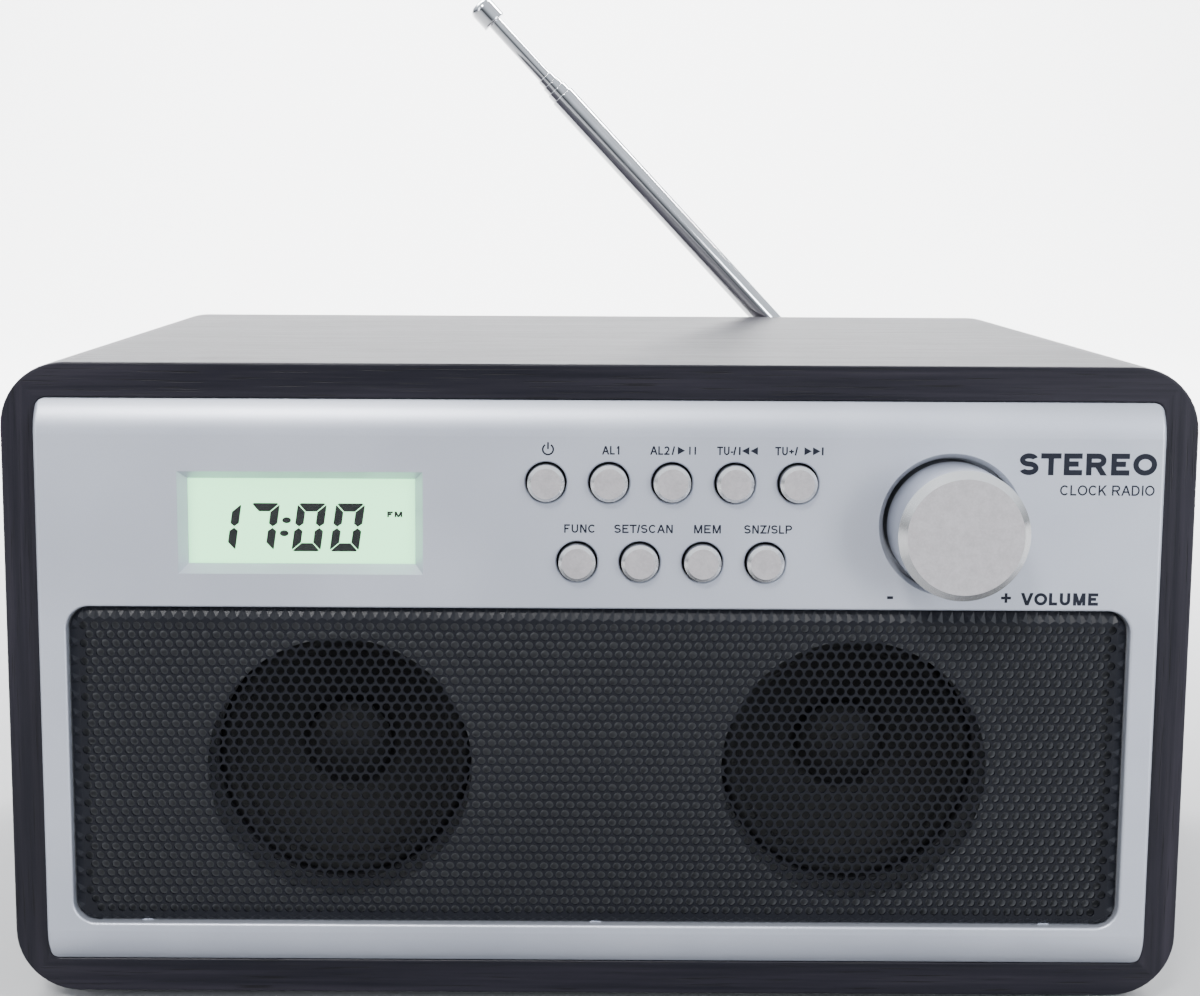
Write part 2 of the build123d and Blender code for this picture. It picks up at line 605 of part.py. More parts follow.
def antenna_bush():
    """Collar fixed in the back panel, in which the antenna's post turns."""
    body = rod(PIVOT_X, PIVOT_Z, (BACK_OUT, BACK_OUT + 2.0), 7.5)
    body = fillet(body.edges().group_by(Axis.Y)[-1], 0.6)
    body += rod(PIVOT_X, PIVOT_Z, (BACK_IN - 3.0, BACK_OUT), 6.0)
    return body - rod(PIVOT_X, PIVOT_Z, (BACK_IN - 4.0, BACK_OUT + 3.0), POST_R + SLIDE_GAP)


def antenna_swivel():
    """Turning post with a fork behind it; a screw and washer hold it from inside."""
    post = rod(PIVOT_X, PIVOT_Z, (BACK_IN - 3.4, BACK_OUT + 2.3), POST_R)
    fork = rod(PIVOT_X, PIVOT_Z, (BACK_OUT + 2.3, FORK_BACK), FORK_R)
    fork = chamfer(fork.edges().group_by(Axis.Y)[-1], 0.5)
    slot_front = ANTENNA_Y - 4.1
    slot_w = TONGUE_T + 0.2
    slot = MAST * Pos(0, (slot_front - ANTENNA_Y + 8.0) / 2, 0) * Box(slot_w, 8.0 - slot_front + ANTENNA_Y, 30)
    body = post + (fork - slot)
    body -= MAST * Rot(0, 90, 0) * Cylinder(PIN_R + 0.01, 20)
    return body - rod(PIVOT_X, PIVOT_Z, (BACK_IN - 4.0, BACK_IN + 3.0), 1.3)


def swivel_screw():
    """Screw and washer at the post's inner end."""
    washer_y = (BACK_IN - 4.4, BACK_IN - 3.4)
    body = rod(PIVOT_X, PIVOT_Z, washer_y, 5.6)
    body += rod(PIVOT_X, PIVOT_Z, (washer_y[0] - 1.8, washer_y[0]), 2.8)
    return body + rod(PIVOT_X, PIVOT_Z, (washer_y[1], BACK_IN + 2.0), 1.28)


def antenna_knuckle():
    """Flat tongue in the fork, with a round plug that holds the first tube."""
    tongue = Rot(0, 90, 0) * Cylinder(3.7, TONGUE_T)
    tongue += Pos(0, 0, 3.6) * Box(TONGUE_T, 6.0, 7.2)
    plug = Pos(0, 0, 11.0) * Cylinder(TUBE_R[0] - TUBE_WALL - 0.01, 8.0)
    body = tongue + plug - Rot(0, 90, 0) * Cylinder(PIN_R + SLIDE_GAP, 20)
    return MAST * body


def pivot_pin():
    """Riveted pin through both ears and the tongue."""
    half = FORK_R - 0.3
    return MAST * Rot(0, 90, 0) * Cylinder(PIN_R, 2 * half)


def antenna_tube(i):
    """One drawn tube; the last is a rod. Its upper end is rolled in."""
    length = TUBE_END[i] - TUBE_START[i]
    tube = Pos(0, 0, TUBE_START[i] + length / 2) * Cylinder(TUBE_R[i], length)
    if i < len(TUBE_R) - 1:
        tube = fillet(tube.edges().group_by(Axis.Z)[-1], 0.2)
        bore_r = TUBE_R[i + 1] + SLIDE_GAP
        tube -= Pos(0, 0, TUBE_START[i] + length / 2) * Cylinder(bore_r, length + 2)
    return MAST * tube


def antenna_tip():
    """Turned cap with a rounded crown."""
    base = TUBE_END[-1]
    cap = Pos(0, 0, base + TIP_L / 2) * Cylinder(TIP_R, TIP_L)
    cap = fillet(cap.edges().group_by(Axis.Z)[-1], 2.2)
    cap = fillet(cap.edges().group_by(Axis.Z)[0], 0.6)
    return MAST * cap


# ---------------------------------------------------------------- write every sub-part

os.makedirs("parts", exist_ok=True)

save("cabinet_shell", cabinet_shell())
save("glue_blocks", *glue_blocks())
save("feet", *[foot(side * FOOT_X, y) for side in (-1, 1) for y in FOOT_Y])
save("front_panel", front_panel())
save("front_panel_screws", *[screw(x, z, SKIRT_BACK + BLOCK_L, BLOCK_L + 5.0, 1.28) for x, z in BLOCK_SPOTS])
save("speaker_grille", speaker_grille())
save("baffle_board", baffle_board())
for side, label in ((-1, "left"), (1, "right")):
    save(f"speaker_basket_{label}", speaker_basket(side * SPEAKER_X))
    save(f"speaker_cone_{label}", speaker_cone(side * SPEAKER_X))
    save(f"speaker_surround_{label}", speaker_surround(side * SPEAKER_X))
    save(f"speaker_magnet_{label}", speaker_magnet(side * SPEAKER_X))
save("speaker_screws", *speaker_screws())

display_window, display_cell, display_backlight, display_tray, tray_back = display_parts()
save("display_window", display_window)
save("display_cell", display_cell)
save("display_backlight", display_backlight)
save("display_tray", display_tray)

for name, x, z in key_places():
    save(name, key(x, z))
save("tact_switches", *[tact_switch(x, z) for name, x, z in key_places()])
save("key_board", key_board())
panel_screws = [screw(x, z, KEY_BOARD_Y + BOARD_T, 6.0, PILOT_R - 0.01) for x, z in KEY_BOSSES]
panel_screws += [screw(x, z, tray_back, 6.0, PILOT_R - 0.01) for x, z in HOLDER_BOSSES]
panel_screws += [screw(x, z, SKIRT_BACK, 6.0, PILOT_R - 0.01) for x, z in BAFFLE_BOSSES]
save("panel_part_screws", *panel_screws)
save("volume_encoder", volume_encoder())
save("encoder_nut", encoder_nut())
save("encoder_shaft", encoder_shaft())
save("volume_knob", volume_knob())

save("main_board", main_board())
save("board_spacers", *[board_spacer(x, y) for x, y in MAIN_FIX])
save("main_board_screws", *[board_screw(x, y) for x, y in MAIN_FIX])
save("heat_sink", heat_sink())
save("tuner_can", block((-62.0, -40.0), (92.0, 108.0), (MAIN_TOP, MAIN_TOP + 5.0)))
save("board_capacitors", *board_parts())
save("dc_socket", dc_socket())
save("aux_socket", jack(AUX_X, 4.0, JACK_BORE_R, JACK_BORE_L))
save("headphone_socket", jack(PHONES_X, 4.0, JACK_BORE_R, JACK_BORE_L))
save("ribbon_cable", ribbon_cable())
save("speaker_leads", speaker_lead(-1), speaker_lead(1))

save("back_panel", back_panel())
save("back_panel_screws", *[screw(x, z, BACK_OUT, 12.0, 1.49, 3.0, 1.9) for x, z in BLOCK_SPOTS + BLOCK_MIDDLE])
save("antenna_bush", antenna_bush())
save("antenna_swivel", antenna_swivel())
save("swivel_screw", swivel_screw())
save("antenna_knuckle", antenna_knuckle())
save("pivot_pin", pivot_pin())
for i in range(len(TUBE_R)):
    save(f"antenna_section_{i + 1}", antenna_tube(i))
save("antenna_tip", antenna_tip())
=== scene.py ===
import json
import math

import bpy
import mathutils
import numpy as np
from mathutils import Matrix, Vector


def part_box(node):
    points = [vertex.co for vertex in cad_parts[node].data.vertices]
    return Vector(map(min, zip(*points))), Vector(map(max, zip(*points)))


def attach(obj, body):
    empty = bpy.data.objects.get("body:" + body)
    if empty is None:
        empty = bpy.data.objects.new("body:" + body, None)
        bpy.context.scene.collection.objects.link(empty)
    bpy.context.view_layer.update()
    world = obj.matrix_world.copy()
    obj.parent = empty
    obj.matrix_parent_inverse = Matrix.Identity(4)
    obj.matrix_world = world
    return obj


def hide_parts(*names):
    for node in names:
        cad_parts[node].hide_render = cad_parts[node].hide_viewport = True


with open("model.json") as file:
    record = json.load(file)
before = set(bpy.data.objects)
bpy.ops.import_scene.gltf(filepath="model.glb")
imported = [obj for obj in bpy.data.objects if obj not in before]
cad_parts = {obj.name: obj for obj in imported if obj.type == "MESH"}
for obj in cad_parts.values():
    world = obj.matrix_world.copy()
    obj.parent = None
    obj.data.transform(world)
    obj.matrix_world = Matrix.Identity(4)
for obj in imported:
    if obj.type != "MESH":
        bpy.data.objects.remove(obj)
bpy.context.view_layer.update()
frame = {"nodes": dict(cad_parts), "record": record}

MM = 0.001
NODES = frame["nodes"]


# ---------------------------------------------------------------- places, all taken from the frame

CABINET_LOW, CABINET_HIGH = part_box("cabinet_shell")
PANEL_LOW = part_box("front_panel")[0]
GRILLE_LOW, GRILLE_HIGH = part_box("speaker_grille")
CELL_LOW, CELL_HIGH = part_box("display_cell")
BACK_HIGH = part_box("back_panel")[1]
BACK_RECESS = 0.6 * MM

FACE_Y = PANEL_LOW.y
FRONT_Y = CABINET_LOW.y
UNDERSIDE_Z = CABINET_LOW.z
MIDDLE = (CABINET_LOW + CABINET_HIGH) / 2
BACK_FACE = BACK_HIGH.y - BACK_RECESS
PRINT = 0.03 * MM


def middle(node):
    """Centre of a CAD node's box."""
    low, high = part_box(node)
    return (low + high) / 2


# ---------------------------------------------------------------- shader arithmetic


class Shade:
    """A shader socket. Operators add Math nodes, node() adds any other node."""

    def __init__(self, tree, socket=None):
        self.tree = tree
        self.socket = socket

    def node(self, kind, settings, inputs, out=0):
        """Add a node of a kind: its settings first, then its sockets' values or links."""
        made = self.tree.nodes.new(kind)
        for name, value in settings.items():
            setattr(made, name, value)
        for name, value in inputs.items():
            if isinstance(value, Shade):
                self.tree.links.new(value.socket, made.inputs[name])
            else:
                made.inputs[name].default_value = value
        return Shade(self.tree, made.outputs[out])

    def math(self, operation, *values):
        return self.node("ShaderNodeMath", {"operation": operation}, dict(enumerate(values)))

    def __add__(self, other):
        return self.math("ADD", self, other)

    def __sub__(self, other):
        return self.math("SUBTRACT", self, other)

    def __rsub__(self, other):
        return self.math("SUBTRACT", other, self)

    def __mul__(self, other):
        return self.math("MULTIPLY", self, other)

    def __truediv__(self, other):
        return self.math("DIVIDE", self, other)

    __radd__ = __add__
    __rmul__ = __mul__

    def size(self):
        return self.math("ABSOLUTE", self)

    def step(self, low, high):
        """0 below low, 1 above high, smooth between."""
        sockets = {"Value": self, "From Min": low, "From Max": high}
        return self.node("ShaderNodeMapRange", {"interpolation_type": "SMOOTHSTEP"}, sockets)

    def axis(self, name):
        return self.node("ShaderNodeSeparateXYZ", {}, {0: self}, "XYZ".index(name))

    def stretch(self, scale, shift=(0, 0, 0)):
        """The pattern's place, moved by shift and scaled along each axis."""
        return self.node("ShaderNodeMapping", {}, {"Vector": self, "Location": shift, "Scale": scale})

    def noise(self, scale, detail=3.0, rough=0.5, bend=0.0):
        sockets = {"Vector": self, "Scale": scale, "Detail": detail, "Roughness": rough, "Distortion": bend}
        return self.node("ShaderNodeTexNoise", {}, sockets)

    def cells(self, scale):
        """Distance to the nearest of the points scattered through the pattern."""
        return self.node("ShaderNodeTexVoronoi", {"feature": "F1"}, {"Vector": self, "Scale": scale})

    def colour(self, dark, light):
        """Mix of two colours, or of two Shades, by this value."""
        inputs = {0: self, 6: dark if isinstance(dark, Shade) else (*dark, 1),
                  7: light if isinstance(light, Shade) else (*light, 1)}
        return self.node("ShaderNodeMix", {"data_type": "RGBA"}, inputs, 2)

    def blend(self, low, high):
        """Mix of two numbers by this value."""
        return self.node("ShaderNodeMix", {"data_type": "FLOAT"}, {0: self, 2: low, 3: high})

    def bump(self, depth, strength=1.0):
        """Normal for a height given by this value, depth metres high at 1."""
        return self.node("ShaderNodeBump", {}, {"Height": self, "Distance": depth, "Strength": strength})


def material(name, paint):
    """A new material. paint(place, facing) returns the Principled sockets to set, by name."""
    made = bpy.data.materials.new(name)
    made.use_nodes = True
    tree = made.node_tree
    shader = tree.nodes["Principled BSDF"]
    place = Shade(tree).node("ShaderNodeTexCoord", {}, {}, "Object")
    facing = Shade(tree).node("ShaderNodeTexCoord", {}, {}, "Normal")
    for socket, value in paint(place, facing).items():
        if isinstance(value, Shade):
            tree.links.new(value.socket, shader.inputs[socket])
        elif isinstance(value, tuple):
            shader.inputs[socket].default_value = (*value, 1)
        else:
            shader.inputs[socket].default_value = value
    return made


# ---------------------------------------------------------------- finishes


def dark_veneer(place, facing):
    """Dark stained veneer under satin lacquer. The grain runs round the sleeve: along X above and below,
    along Z at the sides."""
    centred = place.stretch((1, 1, 1), (-MIDDLE.x, -MIDDLE.y, -MIDDLE.z))
    half = (CABINET_HIGH - CABINET_LOW) / 2
    beyond_side = centred.axis("X").size() - half.x
    beyond_top = centred.axis("Z").size() - half.z
    side = (beyond_side - beyond_top).step(-0.6 * MM, 0.6 * MM)
    along_x = place.stretch((16, 700, 700))
    along_z = place.stretch((700, 700, 16), (0.31, 0.17, 0.05))
    broad_x = place.stretch((5, 120, 120)).noise(1.0, 2.0)
    broad_z = place.stretch((120, 120, 5)).noise(1.0, 2.0)
    fibre = side.blend(along_x.noise(1.0, 5.0, 0.65), along_z.noise(1.0, 5.0, 0.65))
    broad = side.blend(broad_x, broad_z)
    pores_x = place.stretch((60, 2600, 2600)).noise(1.0, 1.0)
    pores_z = place.stretch((2600, 2600, 60)).noise(1.0, 1.0)
    pores = side.blend(pores_x, pores_z)
    pore = pores.step(0.60, 0.70)
    tone = (fibre * 0.6 + broad * 0.5).step(0.30, 0.85)
    shade = tone.colour((0.005, 0.005, 0.0085), (0.024, 0.021, 0.029))
    colour = (pore * 0.7).colour(shade, (0.004, 0.0035, 0.004))
    height = fibre * 0.6 - pore * 0.8
    return {"Base Color": colour, "Roughness": fibre.blend(0.30, 0.50), "Normal": height.bump(0.05 * MM, 0.6),
            "Specular IOR Level": 0.22}


def silver_paint(place, facing):
    """Fine metallic paint on moulded plastic."""
    flake = place.noise(5200, 2.0)
    cloud = place.noise(26, 2.0)
    tone = flake * 0.30 + cloud * 0.7
    colour = tone.step(0.3, 0.7).colour((0.49, 0.51, 0.575), (0.57, 0.59, 0.655))
    return {"Base Color": colour, "Metallic": 0.66, "Roughness": flake.blend(0.40, 0.50),
            "Normal": flake.bump(0.006 * MM, 0.35), "Coat Weight": 0.12, "Coat Roughness": 0.3}


def black_steel(place, facing):
    """Powder-coated steel sheet."""
    grain = place.noise(3800, 2.0)
    colour = place.noise(60, 2.0).colour((0.0035, 0.004, 0.0065), (0.0065, 0.007, 0.0105))
    return {"Base Color": colour, "Roughness": grain.blend(0.34, 0.50), "Normal": grain.bump(0.02 * MM, 0.4),
            "Specular IOR Level": 0.22}


def black_board(place, facing):
    """Brushed-on dark paint over board."""
    grain = place.stretch((400, 400, 2600)).noise(1.0, 3.0)
    return {"Base Color": grain.colour((0.062, 0.064, 0.070), (0.115, 0.117, 0.124)),
            "Roughness": grain.blend(0.26, 0.40), "Normal": grain.bump(0.05 * MM, 0.5)}


def softwood(place, facing):
    rings = place.stretch((30, 260, 260)).noise(1.0, 4.0, 0.6, 0.6)
    colour = rings.step(0.3, 0.7).colour((0.46, 0.30, 0.16), (0.68, 0.50, 0.31))
    return {"Base Color": colour, "Roughness": 0.75, "Normal": rings.bump(0.1 * MM, 0.5)}


def cone_paper(place, facing):
    """Pressed black paper, fibres just visible."""
    fibre = place.noise(900, 4.0, 0.7)
    return {"Base Color": fibre.colour((0.003, 0.003, 0.003), (0.008, 0.0075, 0.007)),
            "Roughness": fibre.blend(0.62, 0.85), "Normal": fibre.bump(0.05 * MM, 0.5)}


def rubber(place, facing):
    speck = place.noise(1800, 3.0)
    return {"Base Color": speck.colour((0.005, 0.005, 0.005), (0.012, 0.012, 0.012)),
            "Roughness": speck.blend(0.62, 0.85), "Normal": speck.bump(0.03 * MM, 0.4)}


def ferrite(place, facing):
    speck = place.noise(700, 5.0, 0.7)
    return {"Base Color": speck.colour((0.035, 0.035, 0.037), (0.075, 0.075, 0.078)), "Roughness": 0.7,
            "Normal": speck.bump(0.05 * MM, 0.5)}


def basket_steel(place, facing):
    speck = place.noise(1500, 2.0)
    return {"Base Color": speck.colour((0.02, 0.02, 0.022), (0.035, 0.035, 0.038)), "Roughness": 0.42,
            "Normal": speck.bump(0.02 * MM, 0.3)}


def zinc(place, facing):
    cloud = place.noise(900, 3.0)
    return {"Base Color": cloud.colour((0.42, 0.42, 0.40), (0.62, 0.61, 0.58)), "Metallic": 1.0,
            "Roughness": cloud.blend(0.24, 0.42)}


def black_screw(place, facing):
    cloud = place.noise(1500, 3.0)
    return {"Base Color": cloud.colour((0.012, 0.012, 0.012), (0.03, 0.03, 0.03)), "Metallic": 0.6,
            "Roughness": cloud.blend(0.28, 0.45)}


def clear_window(place, facing):
    """Thin clear acrylic."""
    haze = place.noise(220, 2.0)
    return {"Base Color": (0.02, 0.022, 0.02), "Alpha": 0.06, "Roughness": haze.blend(0.02, 0.06)}


def display_glow(place, facing):
    """Mint backlight through the display cell, evener in the middle and duller at the edges."""
    centre = (CELL_LOW + CELL_HIGH) / 2
    half = (CELL_HIGH - CELL_LOW) / 2
    across = ((place.axis("X") - centre.x) / half.x).size()
    up = ((place.axis("Z") - centre.z) / half.z).size()
    edge = across.math("MAXIMUM", across.step(0.86, 1.0), up.step(0.80, 1.0))
    cloud = place.noise(70, 2.0)
    lit = (edge * 0.75 + cloud * 0.15).colour((0.38, 1.0, 0.50), (0.28, 0.62, 0.38))
    return {"Base Color": (0.12, 0.15, 0.13), "Emission Color": lit, "Emission Strength": 3.8,
            "Roughness": 0.25}


def light_guide(place, facing):
    cloud = place.noise(300, 2.0)
    return {"Base Color": cloud.colour((0.75, 0.86, 0.78), (0.86, 0.93, 0.88)), "Roughness": 0.3}


def black_plastic(place, facing):
    """Spark-eroded texture moulded in black."""
    pits = place.noise(2600, 3.0, 0.6)
    cloud = place.noise(50, 2.0)
    return {"Base Color": cloud.colour((0.012, 0.012, 0.013), (0.020, 0.020, 0.022)),
            "Roughness": pits.blend(0.42, 0.62), "Normal": pits.bump(0.05 * MM, 0.55)}


def satin_aluminium(place, facing):
    """Bead-blasted faces with a bright turned bevel. Faces look along Y, bevels slope and walls don't. Below
    the panel's face the colour is near black: painted shade in the gaps round the keys and knob.
    """
    along = facing.axis("Y").size()
    face = along.step(0.93, 0.98)
    bevel = along.step(0.35, 0.55) - face
    grain = place.noise(2300, 4.0, 0.7)
    mottle = place.noise(420, 3.0, 0.6)
    turned = place.stretch((1, 9000, 1)).noise(1.0, 2.0)
    tone = grain * 0.55 + mottle * 0.45
    warm = tone.step(0.3, 0.7).colour((0.46, 0.43, 0.435), (0.58, 0.55, 0.555))
    cool = turned.colour((0.48, 0.50, 0.56), (0.58, 0.60, 0.66))
    bright = bevel.colour(cool, (0.86, 0.85, 0.84))
    # Painted shade: deeper than the panel's face the metal turns near black, standing in for the shade in the
    # gaps round keys and knob.
    inside = place.axis("Y").step(FACE_Y, FACE_Y + 0.5 * MM)
    colour = inside.colour(face.colour(bright, warm), (0.015, 0.015, 0.018))
    rough = face.blend(bevel.blend(0.30, 0.20), grain.blend(0.46, 0.62))
    height = grain * face
    return {"Base Color": colour, "Metallic": 0.85, "Roughness": rough, "Normal": height.bump(0.02 * MM, 0.5)}


def circuit_board(place, facing):
    """Green solder mask over copper tracks, with tinned pads."""
    track = place.node("ShaderNodeTexWave", {"bands_direction": "DIAGONAL"},
                       {"Vector": place, "Scale": 260, "Distortion": 6.0}, "Fac")
    pad = 1 - place.cells(380).step(0.16, 0.2)
    shade = track.step(0.45, 0.55).colour((0.006, 0.055, 0.022), (0.015, 0.105, 0.040))
    mask = place.noise(900, 1.0).step(0.5, 0.56) * pad
    return {"Base Color": mask.colour(shade, (0.55, 0.53, 0.48)), "Metallic": mask * 0.9,
            "Roughness": track.blend(0.25, 0.36),
            "Normal": track.bump(0.03 * MM, 0.3)}


def plated_steel(place, facing):
    brushed = place.stretch((1, 6000, 1)).noise(1.0, 2.0)
    return {"Base Color": brushed.colour((0.45, 0.45, 0.46), (0.60, 0.60, 0.61)), "Metallic": 1.0,
            "Roughness": brushed.blend(0.22, 0.38)}


def capacitor_sleeve(place, facing):
    cloud = place.noise(400, 2.0)
    return {"Base Color": cloud.colour((0.010, 0.014, 0.05), (0.016, 0.022, 0.07)), "Roughness": 0.28}


def black_aluminium(place, facing):
    brushed = place.stretch((3000, 3000, 30)).noise(1.0, 2.0)
    return {"Base Color": brushed.colour((0.020, 0.020, 0.022), (0.035, 0.035, 0.038)), "Metallic": 0.8,
            "Roughness": brushed.blend(0.35, 0.5)}


def grey_cable(place, facing):
    rib = place.stretch((5000, 1, 1)).noise(1.0, 1.0)
    return {"Base Color": rib.colour((0.18, 0.18, 0.19), (0.30, 0.30, 0.31)), "Roughness": 0.5}


def antenna_chrome(place, facing):
    """Drawn and plated tube: near mirror, with a faint lengthwise draw and finger haze."""
    haze = place.noise(140, 3.0, 0.6)
    draw = place.noise(2400, 2.0)
    return {"Base Color": haze.colour((0.74, 0.74, 0.76), (0.83, 0.83, 0.84)), "Metallic": 1.0,
            "Roughness": haze.step(0.35, 0.75).blend(0.055, 0.15), "Normal": draw.bump(0.002 * MM, 0.3)}


def dark_print(place, facing):
    ink = place.noise(2600, 2.0)
    return {"Base Color": ink.colour((0.006, 0.007, 0.013), (0.012, 0.014, 0.024)),
            "Roughness": ink.blend(0.4, 0.6), "Specular IOR Level": 0.2}


def white_print(place, facing):
    ink = place.noise(2600, 2.0)
    return {"Base Color": ink.colour((0.55, 0.55, 0.55), (0.75, 0.75, 0.75)),
            "Roughness": ink.blend(0.45, 0.65)}


def lit_segment(place, facing):
    """Dark liquid-crystal segment."""
    cloud = place.noise(500, 2.0)
    return {"Base Color": cloud.colour((0.004, 0.006, 0.006), (0.008, 0.011, 0.010)), "Roughness": 0.5}


FINISHES = (dark_veneer, silver_paint, black_steel, black_board, softwood, cone_paper, rubber, ferrite,
            basket_steel, zinc, black_screw, clear_window, display_glow, light_guide, black_plastic,
            satin_aluminium, circuit_board, plated_steel, capacitor_sleeve, black_aluminium, grey_cable,
            antenna_chrome, dark_print, white_print, lit_segment)
FINISH = {paint.__name__: material(paint.__name__, paint) for paint in FINISHES}
SLOT_FINISH = {
    "dark_veneer": "dark_veneer", "softwood": "softwood", "silver_paint": "silver_paint",
    "black_steel": "black_steel", "black_board": "black_board", "basket_steel": "basket_steel",
    "cone_paper": "cone_paper", "roll_rubber": "rubber", "ferrite": "ferrite", "zinc_screw": "zinc",
    "black_screw": "black_screw", "clear_window": "clear_window", "display_cell": "display_glow",
    "light_guide": "light_guide", "black_plastic": "black_plastic", "brushed_aluminium": "satin_aluminium",
    "circuit_board": "circuit_board", "plated_steel": "plated_steel", "capacitor_sleeve": "capacitor_sleeve",
    "black_aluminium": "black_aluminium", "grey_cable": "grey_cable", "foot_rubber": "rubber",
    "antenna_chrome": "antenna_chrome",
}


def dress_nodes():
    """Give every CAD node the finish of its material slot."""
    for part in frame["record"]["subparts"]:
        mesh = NODES[part["node"]].data
        mesh.materials.clear()
        mesh.materials.append(FINISH[SLOT_FINISH[part["material_slot"]]])


# ---------------------------------------------------------------- meshes


def add_piece(name, points, faces, finish, body):
    """A new mesh piece that rides on a body."""
    mesh = bpy.data.meshes.new(name)
    mesh.from_pydata(np.asarray(points, float).tolist(), [], faces)
    mesh.update()
    piece = bpy.data.objects.new(name, mesh)
    bpy.context.scene.collection.objects.link(piece)
    mesh.materials.append(FINISH[finish])
    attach(piece, body)
    return piece


# ---- perforated grille

PITCH = 2.315 * MM
HOLE_R = 0.93 * MM
HOLE_SIDES = 12
SHEET = 0.6 * MM
BEND_R = 1.3 * MM
GRILLE_CORNER = 4.7 * MM
ROW_SHIFT = -0.44 * MM
PLAIN_SIDE = 3.0 * MM
PLAIN_TOP = 1.0 * MM


def fold_down(flat):
    """Bend a flat blank into a tray. Inside the rounded field nothing moves. Beyond it a point at distance d
    goes round the bend, out by R sin(d / R) and back by R (1 - cos(d / R)), then straight back. Returns the
    places and the outward normals."""
    centre = (GRILLE_LOW + GRILLE_HIGH) / 2
    field = (GRILLE_HIGH - GRILLE_LOW) / 2 - Vector((BEND_R, 0, BEND_R))
    corner = GRILLE_CORNER - BEND_R
    u, v = flat[:, 0], flat[:, 1]
    core_u = np.clip(u, -(field.x - corner), field.x - corner)
    core_v = np.clip(v, -(field.z - corner), field.z - corner)
    away = np.stack([u - core_u, v - core_v], 1)
    length = np.linalg.norm(away, axis=1)
    direction = away / np.maximum(length, 1e-9)[:, None]
    past = np.maximum(length - corner, 0)
    angle = np.minimum(past / BEND_R, math.pi / 2)
    straight = np.maximum(past - BEND_R * math.pi / 2, 0)
    reach = np.minimum(length, corner) + BEND_R * np.sin(angle)
    drop = BEND_R * (1 - np.cos(angle)) + straight
    place = np.stack([centre.x + core_u + direction[:, 0] * reach, GRILLE_LOW.y + drop,
                      centre.z + core_v + direction[:, 1] * reach], 1)
    normal = np.stack([direction[:, 0] * np.sin(angle), -np.cos(angle), direction[:, 1] * np.sin(angle)], 1)
    return place, normal


def grille_cells():
    """Centres and corners of the cells on the flat blank, rows staggered by half a pitch, and which cells
    have a hole. Corners that fewer than three cells share are pushed out to the blank's edge."""
    half = (GRILLE_HIGH - GRILLE_LOW) / 2
    edge = GRILLE_CORNER + BEND_R * (math.pi / 2 - 1)
    core = np.array([half.x - GRILLE_CORNER, half.z - GRILLE_CORNER])
    row = PITCH * math.sqrt(3) / 2
    count_u, count_v = int(half.x / PITCH) + 3, int(half.z / row) + 3
    i, j = np.meshgrid(np.arange(-count_u, count_u + 1), np.arange(-count_v, count_v + 1), indexing="ij")
    centres = np.stack([(i + 0.5 * ((j + 1) % 2)).ravel() * PITCH, j.ravel() * row + ROW_SHIFT], 1)
    over = np.linalg.norm(np.maximum(np.abs(centres) - core, 0), axis=1)
    centres = centres[over < edge - 0.35 * PITCH]
    six = math.pi / 6 + np.arange(6) * math.pi / 3
    hexagon = np.stack([np.cos(six), np.sin(six)], 1) * PITCH / math.sqrt(3)
    corners = (centres[:, None] + hexagon).reshape(-1, 2)
    shared, uses = same_places(corners)[1:]
    outer = uses[shared] < 3
    nearest = np.clip(corners, -core, core)
    away = corners - nearest
    length = np.maximum(np.linalg.norm(away, axis=1), 1e-9)[:, None]
    corners[outer] = (nearest + away / length * edge)[outer]
    plain = np.array([PLAIN_SIDE, PLAIN_TOP])
    margin = np.linalg.norm(np.maximum(np.abs(centres) - core + plain, 0), axis=1)
    pierced = (margin < GRILLE_CORNER) & ~outer.reshape(-1, 6).any(axis=1)
    return centres, corners.reshape(-1, 6, 2), pierced


def same_places(flat):
    """Index of the first point at each place, which place each point is at, and how many points it has. The
    shift keeps corners that lie on a half step from rounding both ways."""
    key = np.round(flat / (0.01 * MM) + 0.1).astype(int)
    wanted = {"return_index": True, "return_inverse": True, "return_counts": True}
    first, shared, uses = np.unique(key, axis=0, **wanted)[1:]
    return first, shared.ravel(), uses


def perforated_sheet(centres, corners, pierced):
    """Points and faces of a closed sheet of hexagonal cells. A pierced cell is a hexagon round a ring of
    radius HOLE_R, a plain one is a fan from its centre, and the back is the same one sheet thickness in."""
    turn = np.arange(HOLE_SIDES) * 2 * math.pi / HOLE_SIDES
    ring = np.stack([np.cos(turn), np.sin(turn)], 1) * HOLE_R
    flat_corners = corners.reshape(-1, 2)
    first, shared = same_places(flat_corners)[:2]
    shared = shared.reshape(-1, 6)
    rings = (centres[pierced][:, None] + ring).reshape(-1, 2)
    flat = np.concatenate([flat_corners[first], rings, centres[~pierced]])
    place, normal = fold_down(flat)
    points = np.concatenate([place, place - normal * SHEET])
    back = len(flat)
    hole = len(first) + np.arange(len(rings)).reshape(-1, HOLE_SIDES)
    middle_point = len(first) + len(rings) + np.arange(np.count_nonzero(~pierced))
    faces = []

    def both_sides(*corner_points):
        front = np.stack(corner_points, 1)
        faces.extend(front.tolist())
        faces.extend((front[:, ::-1] + back).tolist())

    for k in range(6):
        # corner k stands next to ring points 2k, 2k + 1 and 2k + 2
        corner, following = shared[:, k], shared[:, (k + 1) % 6]
        near = [hole[:, (2 * k + s) % HOLE_SIDES] for s in (0, 1, 2)]
        both_sides(near[0], corner[pierced], near[1])
        both_sides(near[1], corner[pierced], near[2])
        both_sides(near[2], corner[pierced], following[pierced])
        both_sides(corner[~pierced], following[~pierced], middle_point)
    for k in range(HOLE_SIDES):
        a, b = hole[:, k], hole[:, (k + 1) % HOLE_SIDES]
        faces += np.stack([a, b, b + back, a + back], 1).tolist()
    return points, faces + rim_walls(shared, back)


